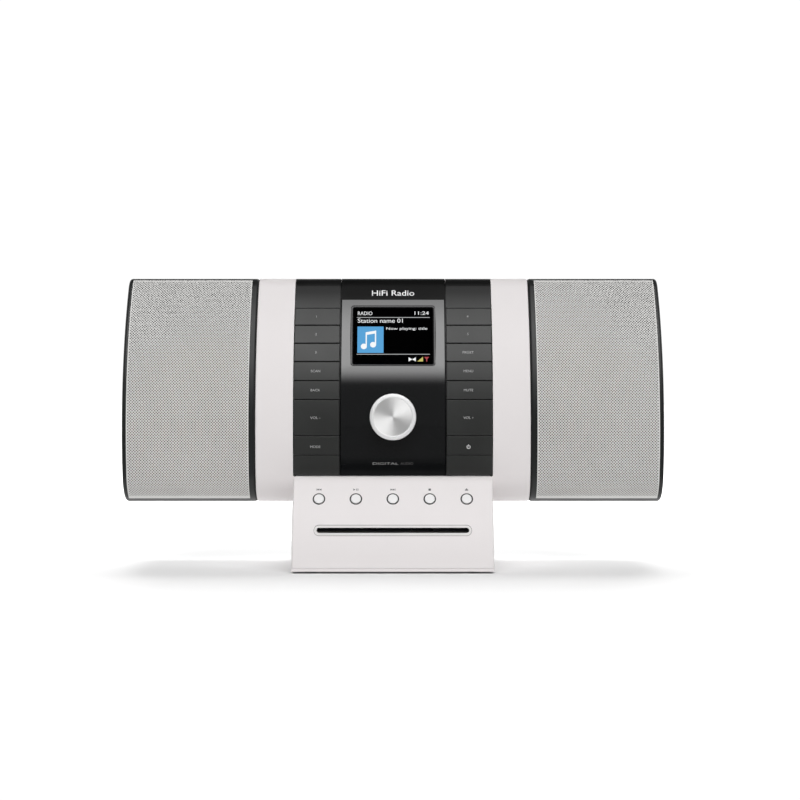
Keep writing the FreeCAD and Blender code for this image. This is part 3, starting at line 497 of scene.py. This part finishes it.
def grille_part(side, row0, row1, x0, pitch_x, s0, pitch_s):
    """A band of perforated sheet: staggered eight-sided holes with walls, no backs."""
    points = []
    faces = []
    angles = [math.radians(22.5 + 45 * k) for k in range(8)]
    hx = pitch_x / 2
    hs = pitch_s / 2

    def surface(u, s, inset):
        return (side * u, *profile_point(s, inset))

    def hole(column, line):
        """One diamond-shaped cell with its hole and the hole's wall."""
        corner = len(points)
        u = x0 + column * pitch_x
        s = s0 + line * pitch_s
        for du, ds in ((hx, 0), (0, hs), (-hx, 0), (0, -hs)):
            points.append(surface(u + du, s + ds, 0.0))
        for inset in (0.0, SHEET_THICK):
            for a in angles:
                points.append(surface(u + HOLE_R * math.cos(a), s + HOLE_R * math.sin(a),
                                      inset))
        rim = corner + 4
        back = corner + 12
        for k in range(4):
            near = (2 * k) % 8
            faces.append((corner + k, rim + near, rim + (near - 1) % 8))
            faces.append((corner + k, corner + (k + 1) % 4, rim + near + 1, rim + near))
        for k in range(8):
            faces.append((rim + k, rim + (k + 1) % 8, back + (k + 1) % 8, back + k))

    def triangle(*corners):
        start = len(points)
        points.extend(surface(u, s, 0.0) for u, s in corners)
        faces.append((start, start + 1, start + 2))

    for j in range(row0, row1):
        for i in range(GRILLE_COLUMNS):
            hole(i + 0.5, j + 0.5)
            if i and j:
                hole(i, j)
    # triangles fill the edges that the cells leave open
    left = x0
    right = x0 + GRILLE_COLUMNS * pitch_x
    for j in range(max(row0, 1), row1):
        low = s0 + j * pitch_s
        mid = low + hs
        triangle((left, low - hs), (left + hx, low), (left, mid))
        triangle((right, mid), (right - hx, low), (right, low - hs))
    if row0 == 0:
        for i in range(1, GRILLE_COLUMNS):
            u = left + i * pitch_x
            triangle((u - hx, s0), (u + hx, s0), (u, s0 + hs))
        triangle((left, s0), (left + hx, s0), (left, s0 + hs))
        triangle((right, s0), (right, s0 + hs), (right - hx, s0))
    if row1 == GRILLE_ROWS:
        top = s0 + GRILLE_ROWS * pitch_s
        for i in range(1, GRILLE_COLUMNS):
            u = left + i * pitch_x
            triangle((u + hx, top), (u - hx, top), (u, top - hs))
        triangle((left, top), (left, top - hs), (left + hx, top))
        triangle((right, top), (right - hx, top), (right, top - hs))
    if side < 0:
        faces = [tuple(reversed(f)) for f in faces]
    return points, faces


def strip(side, u0, u1, stops, inset=0.0):
    """Plain band between two widths, following the profile through the given stops."""
    points = [(side * u, *profile_point(s, inset)) for s in stops for u in (u0, u1)]
    faces = [(a, a + 1, a + 3, a + 2) for a in range(0, 2 * len(stops) - 2, 2)]
    if side < 0:
        faces = [tuple(reversed(f)) for f in faces]
    return points, faces


def merge(parts):
    points = []
    faces = []
    for more_points, more_faces in parts:
        start = len(points)
        points += more_points
        faces += [tuple(start + i for i in f) for f in more_faces]
    return points, faces


def build_grille(side, tag):
    """Perforated sheet in two pieces with plain borders, and the dark cloth behind it."""
    low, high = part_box("grille_" + tag)
    inner = min(abs(low.x), abs(high.x))
    outer = max(abs(low.x), abs(high.x))
    x0 = inner + BORDER_INNER
    x1 = outer - BORDER_OUTER
    s0 = BORDER_LOW
    s1 = PROFILE_LENGTH - BORDER_TOP
    pitch_x = (x1 - x0) / GRILLE_COLUMNS
    pitch_s = (s1 - s0) / GRILLE_ROWS
    half = GRILLE_ROWS // 2
    low_stops = [s0 * k / LOW_STEPS for k in range(LOW_STEPS + 1)]
    top_stops = [s1 + (PROFILE_LENGTH - s1) * k / TOP_STEPS for k in range(TOP_STEPS + 1)]
    row_stops = [s0 + (k - 0.5) * pitch_s for k in range(1, GRILLE_ROWS + 1)]
    side_stops = low_stops + row_stops + top_stops
    lower = merge([
        grille_part(side, 0, half, x0, pitch_x, s0, pitch_s),
        strip(side, inner, x0, side_stops), strip(side, x1, outer, side_stops),
        strip(side, x0, x1, low_stops)])
    upper = merge([
        grille_part(side, half, GRILLE_ROWS, x0, pitch_x, s0, pitch_s),
        strip(side, x0, x1, top_stops)])
    for label, (points, faces) in (("lower", lower), ("upper", upper)):
        name = "grille_sheet_%s_%s" % (tag, label)
        piece(name, mesh_of(name, points, faces), Matrix(),
                          MATERIALS["grille_silver"], "body")
    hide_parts("grille_" + tag)
    stops = [PROFILE_LENGTH * i / CLOTH_STEPS for i in range(CLOTH_STEPS + 1)]
    points, faces = strip(side, inner + CLOTH_GAP, outer - CLOTH_GAP, stops, CLOTH_INSET)
    name = "grille_cloth_" + tag
    piece(name, mesh_of(name, points, faces, True), Matrix(), MATERIALS["cone_paper"], "body")


# ---------------------------------------------------------------- tuning knob
# (radius, height) corners in millimetres, from the shaft hole outwards and back to the face
KNOB_BODY = [(3.05, 8.2), (3.05, -0.5), (5.5, -0.5), (5.5, 7.4), (18.0, 7.4), (18.0, 0.9),
             (19.55, 0.9), (19.75, 1.1), (19.75, 8.9), (19.68, 9.3), (19.5, 9.6), (19.2, 9.8),
             (18.8, 9.92), (18.2, 10.04), (17.5, 10.14), (17.0, 10.18), (16.75, 10.18),
             (16.6, 10.12), (16.48, 10.04), (16.3, 10.0)]
KNOB_FACE = [(r, 10.0) for r in (16.3, 12.0, 8.0, 4.0, 1.0, 0.02)]
KNOB_ANGLE = 2.8


def lathe(name, outline, count):
    """Turns (radius, height) corners round Z with smooth faces."""
    points = []
    for r, h in outline:
        for k in range(count):
            a = 2 * math.pi * k / count
            points.append((r * math.cos(a) * MM, r * math.sin(a) * MM, h * MM))
    return mesh_of(name, points, ring_faces(len(outline), count), True)


def build_knob():
    rim = piece("tuning_knob_body", lathe("tuning_knob_body", KNOB_BODY, 128),
                on_drum(KNOB_ANGLE), SATIN_METAL, "knob")
    face = piece("tuning_knob_face", lathe("tuning_knob_face", KNOB_FACE, 160),
                 on_drum(KNOB_ANGLE), MATERIALS["spun_metal"], "knob")
    split_edges(rim, 40)
    split_edges(face, 40)
    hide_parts("tuning_knob")


# ---------------------------------------------------------------- screen picture and rim
DISPLAY_ANGLE = 21.56
SCREEN_R = 0.21798
SCREEN_INK = 0.00001
# millimetres: the middle of the picture, right of and above the display's own
SCREEN_MIDDLE = (0.4, 1.0)
# millimetres: radius of the window glass, and the rim's section as (way in, rise above the panel);
# the rim's foot is the corner that falls below RIM_FOOT
GLASS_R = 219.8
RIM_SECTION = [(0.0, 0.01), (0.12, 0.12), (0.28, 0.20), (0.45, 0.20), (0.62, 0.10),
               (0.8, -0.08), (1.0, -0.40), (1.0, -9.0)]
RIM_FOOT = -5
# piece, text, then width, height and place on the screen in millimetres
SCREEN_WORDS = [
    ("screen_source", "RADIO", 12.6, 3.4, -31.0, 21.4, "LEFT"),
    ("screen_clock", "11:24", 12.3, 3.4, 30.6, 21.6, "RIGHT"),
    ("screen_station", "Station name 01", 39.0, 4.0, -31.0, 14.4, "LEFT"),
    ("screen_line", "Now playing: title", 35.5, 3.3, -6.3, 6.6, "LEFT"),
]


def screen_place(u, v, lift=0.0):
    """Frame on the screen, from millimetres right of and above its middle."""
    place = Matrix.Translation(((u + SCREEN_MIDDLE[0]) * MM, (v + SCREEN_MIDDLE[1]) * MM, 0.0))
    return on_drum(DISPLAY_ANGLE, 0.0, lift, SCREEN_R) @ place


def screen_shape(name, outlines, material, lift=0.0):
    flat_shapes(name, outlines, screen_place(0, 0, lift), SCREEN_INK, material, "body")


def build_screen():
    screen_shape("screen_lines", [rectangle(-31.8, 17.2, 31.4, 17.7),
                                  rectangle(-31.8, -17.5, 31.4, -17.0)], LIT_DIM)
    for name, text, wide, tall, u, v, align in SCREEN_WORDS:
        words(name, text, wide, tall, screen_place(u, v), LIT_WHITE, "body",
              align)
    screen_shape("screen_tile", [rectangle(-31.2, -16.0, -8.6, 8.8)], LIT_BLUE)
    screen_shape("screen_note", [
        rectangle(-16.1, -8.0, -15.0, 5.0), rectangle(-24.1, -9.6, -23.0, 3.4),
        [(-24.1, 0.8), (-15.0, 2.4), (-15.0, 5.0), (-24.1, 3.4)],
        disc_outline(-17.6, -8.3, 2.6), disc_outline(-25.6, -9.9, 2.6)],
        LIT_WHITE, 2 * SCREEN_INK)
    screen_shape("screen_play", [[(13.0, -24.0), (16.2, -22.0), (13.0, -20.0)],
                                 [(19.2, -24.0), (19.2, -20.0), (16.0, -22.0)]], LIT_WHITE)
    screen_shape("screen_level", [[(20.4, -24.0), (25.4, -24.0), (25.4, -19.6)]], LIT_YELLOW)
    screen_shape("screen_aerial", [rectangle(28.2, -24.0, 29.0, -19.8),
                                   [(26.4, -19.8), (28.6, -22.2), (30.8, -19.8)]], LIT_RED)


def rounded_loop(half, top, low, radius, steps=6):
    """Corner-rounded rectangle in the display plane, from its upper right corner onwards."""
    loop = []
    for cx, cy, start in ((half - radius, top - radius, 0), (-half + radius, top - radius, 90),
                          (-half + radius, low + radius, 180), (half - radius, low + radius, 270)):
        for k in range(steps + 1):
            a = math.radians(start + 90 * k / steps)
            loop.append((cx + radius * math.cos(a), cy + radius * math.sin(a)))
    return loop


def build_display_rim():
    """Narrow gloss rim round the window, low and rounded, following the curve of the panel."""
    outer = rounded_loop(36.5, 28.9, -28.1, 2.6)
    inner = rounded_loop(34.5, 26.6, -26.4, 1.2)
    points = []
    for t, rise in RIM_SECTION:
        for (x0, y0), (x1, y1) in zip(outer, inner):
            x = x0 + (x1 - x0) * t
            y = y0 + (y1 - y0) * t
            level = math.sqrt(DRUM_R ** 2 / MM ** 2 - y * y) - GLASS_R
            height = max(level + rise, 0.03 if rise > RIM_FOOT else 0.01)
            points.append((x * MM, y * MM, height * MM))
    faces = ring_faces(len(RIM_SECTION), len(outer))
    rim = piece("display_rim", mesh_of("display_rim", points, faces, True),
                on_drum(DISPLAY_ANGLE, 0.0, 0.0, GLASS_R * MM), RIM_BLACK, "body")
    split_edges(rim, 50)


# ---------------------------------------------------------------- printing
# angles on the drum of the lines above, between and below the key rows
KEY_LINES = [28.4, 24.0, 19.6, 15.3, 10.95, 6.7, -1.3, -5.6]
LAST_ROW_SHIFT = -0.25
LABEL_SHIFT = -0.0009
LABEL_TALL = 2.1
INK = 0.00002
# body, label and its width in millimetres (0 keeps the letters' own)
LEFT_KEYS = [("key_1", "1", 0), ("key_2", "2", 0), ("key_3", "3", 0), ("key_scan", "SCAN", 8.0),
             ("key_back", "BACK", 8.0), ("key_volume_down", "VOL -", 8.6),
             ("key_mode", "MODE", 8.6)]
RIGHT_KEYS = [("key_4", "4", 0), ("key_5", "5", 0), ("key_preset", "PRESET", 9.4),
              ("key_menu", "MENU", 8.2), ("key_mute", "MUTE", 8.0),
              ("key_volume_up", "VOL +", 8.6)]
CROWN_TEXT_ANGLE = 32.4
PANEL_TEXT_ANGLE = -7.43
ICON_Z = 0.0686


def label_place(row, body, lift):
    """Frame for the label of a key in one of the seven rows."""
    shift = LAST_ROW_SHIFT if row == 6 else 0.0
    angle = (KEY_LINES[row] + KEY_LINES[row + 1]) / 2 + shift
    return on_drum(angle, middle_x(body) + LABEL_SHIFT, lift)


def bar(x):
    return rectangle(x, -1.0, x + 0.5, 1.0)


def forward(x):
    return [(x, -1.0), (x + 1.7, 0.0), (x, 1.0)]


def backward(x):
    return [(x + 1.7, -1.0), (x + 1.7, 1.0), (x, 0.0)]


# disc buttons: place in millimetres across, and the outlines of the sign above each
ICONS = [
    ("previous", -62, [bar(-2.1), backward(-1.6), backward(0.2)]),
    ("play", -31, [forward(-2.2), bar(0.3), bar(1.4)]),
    ("next", 0, [forward(-2.0), forward(-0.2), bar(1.6)]),
    ("stop", 31, [rectangle(-1.0, -1.0, 1.0, 1.0)]),
    ("eject", 62, [[(-1.4, -0.3), (1.4, -0.3), (0.0, 1.3)], rectangle(-1.4, -1.1, 1.4, -0.6)]),
]


def build_printing():
    for keys in (LEFT_KEYS, RIGHT_KEYS):
        for row, (body, text, wide) in enumerate(keys):
            words("print_" + body, text, wide, LABEL_TALL, label_place(row, body, INK), PRINT,
                  body)
    power = ring_pieces(0, -0.1, 1.15, 1.6, 125, 290, 20) + [rectangle(-0.22, 0.2, 0.22, 2.0)]
    flat_shapes("print_key_power", power, label_place(6, "key_power", 0.0), INK, PRINT_BRIGHT,
                "key_power")
    words("print_top_cap", "HiFi Radio", 37.0, 5.8, on_drum(CROWN_TEXT_ANGLE, 0.0, INK),
          PRINT_BRIGHT, "body", weight=0.004)
    words("print_panel", "DIGITAL", 22.0, LABEL_TALL, on_drum(PANEL_TEXT_ANGLE, -0.0063, INK),
          PRINT_GREY, "body")
    words("print_panel_more", "AUDIO", 11.0, LABEL_TALL,
          on_drum(PANEL_TEXT_ANGLE, 0.0118, INK), PRINT_DIM, "body")
    for label, x, outlines in ICONS:
        flat_shapes("print_" + label, outlines, on_base(ICON_Z, x * MM, 0.0), INK, PRINT_DARK,
                    "body")


# ---------------------------------------------------------------- small parts of the base: painted gap shade and the slot's felts
GROOVE_WIDE = 0.00028
GROOVE_LIFT = 0.00004
GROOVE_STEPS = 24
BUTTON_Z = 0.0610
GAP_SHADE_DEPTH = -0.0012
GAP_SHADE_THICK = 0.0011
FELT_THICK = 0.0008
FELT_GAP = 0.0004
# lower and upper edge of the two felts, measured from the middle of the slot
FELTS = (("lower", -0.0052, -0.0005), ("upper", 0.0007, 0.0052))
# millimetres: half the length of a felt, inner and outer radius of a ring of painted gap shade
FELT_HALF = 64.5
GAP_SHADE_INNER = 4.32
GAP_SHADE_OUTER = 5.3


def build_trim_groove_shadow(low, high):
    """Hairline of shadow between the slot's trim and the base, a long rounded loop."""
    mid = (low.z + high.z) / 2
    radius = (high.z - low.z) / 2
    half = high.x - radius
    turns = [math.radians(-90 + 180 * k / GROOVE_STEPS) for k in range(GROOVE_STEPS + 1)]
    points = []
    for wide in (0.0, GROOVE_WIDE):
        for end in (1, -1):
            for a in turns:
                x = end * (half + (radius + wide) * math.cos(a))
                z = mid + end * (radius + wide) * math.sin(a)
                y = BASE_Y - math.sqrt((BASE_R + GROOVE_LIFT) ** 2 - (z - BASE_Z) ** 2)
                points.append((x, y, z))
    count = len(points) // 2
    faces = [(k, count + k, count + (k + 1) % count, (k + 1) % count) for k in range(count)]
    # painted shadow: a flat dark loop laid on the base stands for the shade in the gap round the
    # trim
    piece("slot_trim_groove_shadow", mesh_of("slot_trim_groove_shadow", points, faces), Matrix(),
          MATERIALS["rubber"], "body")


def build_base_details():
    """Dark rings of painted shade in the gaps round the button caps, the painted shadow of the
    trim's groove, and the felts inside the slot.
    """
    rings = []
    for _, x, _ in ICONS:
        rings += ring_pieces(x, 0, GAP_SHADE_INNER, GAP_SHADE_OUTER, 0, 360, 40)
    # painted shade: dark rings a little below the surface fill the gaps round the disc button caps
    flat_shapes("button_gap_shades", rings, on_base(BUTTON_Z, 0.0, GAP_SHADE_DEPTH), GAP_SHADE_THICK,
                MATERIALS["rubber"], "body")
    low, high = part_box("slot_bezel")
    build_trim_groove_shadow(low, high)
    mid = (low.z + high.z) / 2
    felt_y = high.y + FELT_GAP + FELT_THICK
    for label, below, above in FELTS:
        outline = rectangle(-FELT_HALF, (mid + below) / MM, FELT_HALF, (mid + above) / MM)
        matrix = Matrix(((1, 0, 0, 0), (0, 0, -1, felt_y), (0, 1, 0, 0), (0, 0, 0, 1)))
        flat_shapes("slot_felt_" + label, [outline], matrix, FELT_THICK,
                    MATERIALS["cone_paper"], "body")


# ---------------------------------------------------------------- floor, light and camera
FLOOR_HALF = 50
GLOW_START = 1.0
GLOW_END = 2.0
GLOW = 0.5
LAMP_SIZE = 1.7
LAMP_POWER = 52.0
LAMP_AWAY = 2.0
LAMP_TILT = 40
# studio surround: strengths, and (start, end) of the soft edges in degrees
SOFT_BOX = 4.1
BOX_LOW_EDGE = (20.5, 30.5)
BOX_TOP_EDGE = (66.0, 74.0)
BOX_FADE = (46.0, 78.0)
BOX_SIDE_EDGE = (36.0, 46.0)
BOX_TURN = 8.0
SIDE_EDGE = (70.0, 110.0)
FRONT_FILL = 0.12
FRONT_TOP_EDGE = (62.0, 72.0)
FRONT_LOW_EDGE = (-1.0, 1.0)
BACK_FILL = 1.1
BACK_TOP_EDGE = (24.0, 40.0)
HIGH_FILL = 0.1
UNDER_NEAR = 0.11
UNDER_DEEP = 1.25
UNDER_EDGE = (-32.0, -18.0)
HORIZON = (-0.3, -0.1)
SHOWN_WHITE = 1.05


def floor_paint(name):
    """White paper that glows a little far from the object, so that it runs into the surround."""
    material = moulded(name, (0.86, 0.86, 0.86), 0.9, tone=0.004, grain=200.0, strength=0.02,
                       ior=1.1)
    tree = material.node_tree
    shader = tree.nodes["Principled BSDF"]
    coordinates = tree.nodes.new("ShaderNodeTexCoord")
    away = tree.nodes.new("ShaderNodeVectorMath")
    away.operation = "LENGTH"
    tree.links.new(coordinates.outputs["Object"], away.inputs[0])
    tree.links.new(map_range(tree, away.outputs["Value"], GLOW_START, GLOW_END, 0.0, GLOW),
                   shader.inputs["Emission Strength"])
    return material


def build_stage():
    corners = [(x, y, 0) for x, y in rectangle(-FLOOR_HALF, -FLOOR_HALF, FLOOR_HALF, FLOOR_HALF)]
    floor_mesh = mesh_of("floor", corners, [(0, 1, 2, 3)])
    floor = bpy.data.objects.new("floor", floor_mesh)
    scene.collection.objects.link(floor)
    floor_mesh.materials.append(floor_paint("FloorPaint"))
    floor.visible_glossy = False
    floor.visible_diffuse = False
    return floor


def build_top_light(floor):
    """Large soft lamp above and behind that lights the floor alone and lays the soft shadow."""
    data = bpy.data.lights.new("top_light", "AREA")
    data.shape = "SQUARE"
    data.size = LAMP_SIZE
    data.energy = LAMP_POWER
    lamp = bpy.data.objects.new("top_light", data)
    tilt = math.radians(LAMP_TILT)
    lamp.location = (0, LAMP_AWAY * math.sin(tilt), LAMP_AWAY * math.cos(tilt))
    lamp.rotation_euler = (-tilt, 0, 0)
    lamp.visible_glossy = False
    scene.collection.objects.link(lamp)
    receivers = bpy.data.collections.new("floor_only")
    receivers.objects.link(floor)
    lamp.light_linking.receiver_collection = receivers


def build_world():
    """Surround: a soft box in front and above, white behind, dim elsewhere, shown as white."""
    world = bpy.data.worlds.new("Studio")
    scene.world = world
    world.use_nodes = True
    tree = world.node_tree
    back = tree.nodes["Background"]
    link = tree.links.new

    def combine(operation, a, b=None):
        node = tree.nodes.new("ShaderNodeMath")
        node.operation = operation
        for i, value in enumerate((a, b)):
            if isinstance(value, (int, float)):
                node.inputs[i].default_value = value
            elif value is not None:
                link(value, node.inputs[i])
        return node.outputs[0]

    def times(first, *others):
        for other in others:
            first = combine("MULTIPLY", first, other)
        return first

    def ramp(source, edge, start, end):
        return map_range(tree, source, *edge, start, end, smooth=True)

    coordinates = tree.nodes.new("ShaderNodeTexCoord")
    split = tree.nodes.new("ShaderNodeSeparateXYZ")
    link(coordinates.outputs["Generated"], split.inputs[0])
    x, y, z = split.outputs
    elevation = times(combine("ARCSINE", z), 180 / math.pi)
    azimuth = times(combine("ARCTAN2", x, times(y, -1.0)), 180 / math.pi)
    across = combine("ABSOLUTE", azimuth)
    across_box = combine("ABSOLUTE", combine("SUBTRACT", azimuth, BOX_TURN))
    soft_box = times(ramp(elevation, BOX_LOW_EDGE, 0.0, SOFT_BOX),
                     ramp(elevation, BOX_TOP_EDGE, 1.0, 0.0),
                     ramp(elevation, BOX_FADE, 1.0, 0.3),
                     ramp(across_box, BOX_SIDE_EDGE, 1.0, 0.0))
    low_front = times(ramp(across, SIDE_EDGE, 1.0, 0.0),
                      ramp(elevation, FRONT_TOP_EDGE, FRONT_FILL, HIGH_FILL),
                      ramp(elevation, FRONT_LOW_EDGE, 0.0, 1.0))
    low_back = times(ramp(across, SIDE_EDGE, 0.0, 1.0),
                     ramp(elevation, BACK_TOP_EDGE, BACK_FILL, HIGH_FILL),
                     ramp(elevation, HORIZON, 0.0, 1.0))
    under = times(ramp(elevation, UNDER_EDGE, UNDER_DEEP, UNDER_NEAR),
                  ramp(elevation, HORIZON, 1.0, 0.0))
    total = combine("ADD", combine("ADD", soft_box, low_front), combine("ADD", low_back, under))
    direct = tree.nodes.new("ShaderNodeLightPath").outputs["Is Camera Ray"]
    lighting = times(total, combine("SUBTRACT", 1.0, direct))
    link(combine("ADD", lighting, times(direct, SHOWN_WHITE)), back.inputs["Strength"])
    back.inputs["Color"].default_value = (1, 1, 1, 1)


def build_camera():
    data = bpy.data.cameras.new("camera")
    data.lens = 79.1
    data.sensor_width = 36.0
    camera = bpy.data.objects.new("camera", data)
    camera.location = (0.006, -1.536, 0.144)
    camera.rotation_euler = (math.radians(90), 0, 0)
    scene.collection.objects.link(camera)
    scene.camera = camera


build_grille(-1, "left")
build_grille(1, "right")
build_knob()
build_screen()
build_display_rim()
build_printing()
build_base_details()
build_top_light(build_stage())
build_world()
build_camera()
scene.view_settings.view_transform = "Standard"
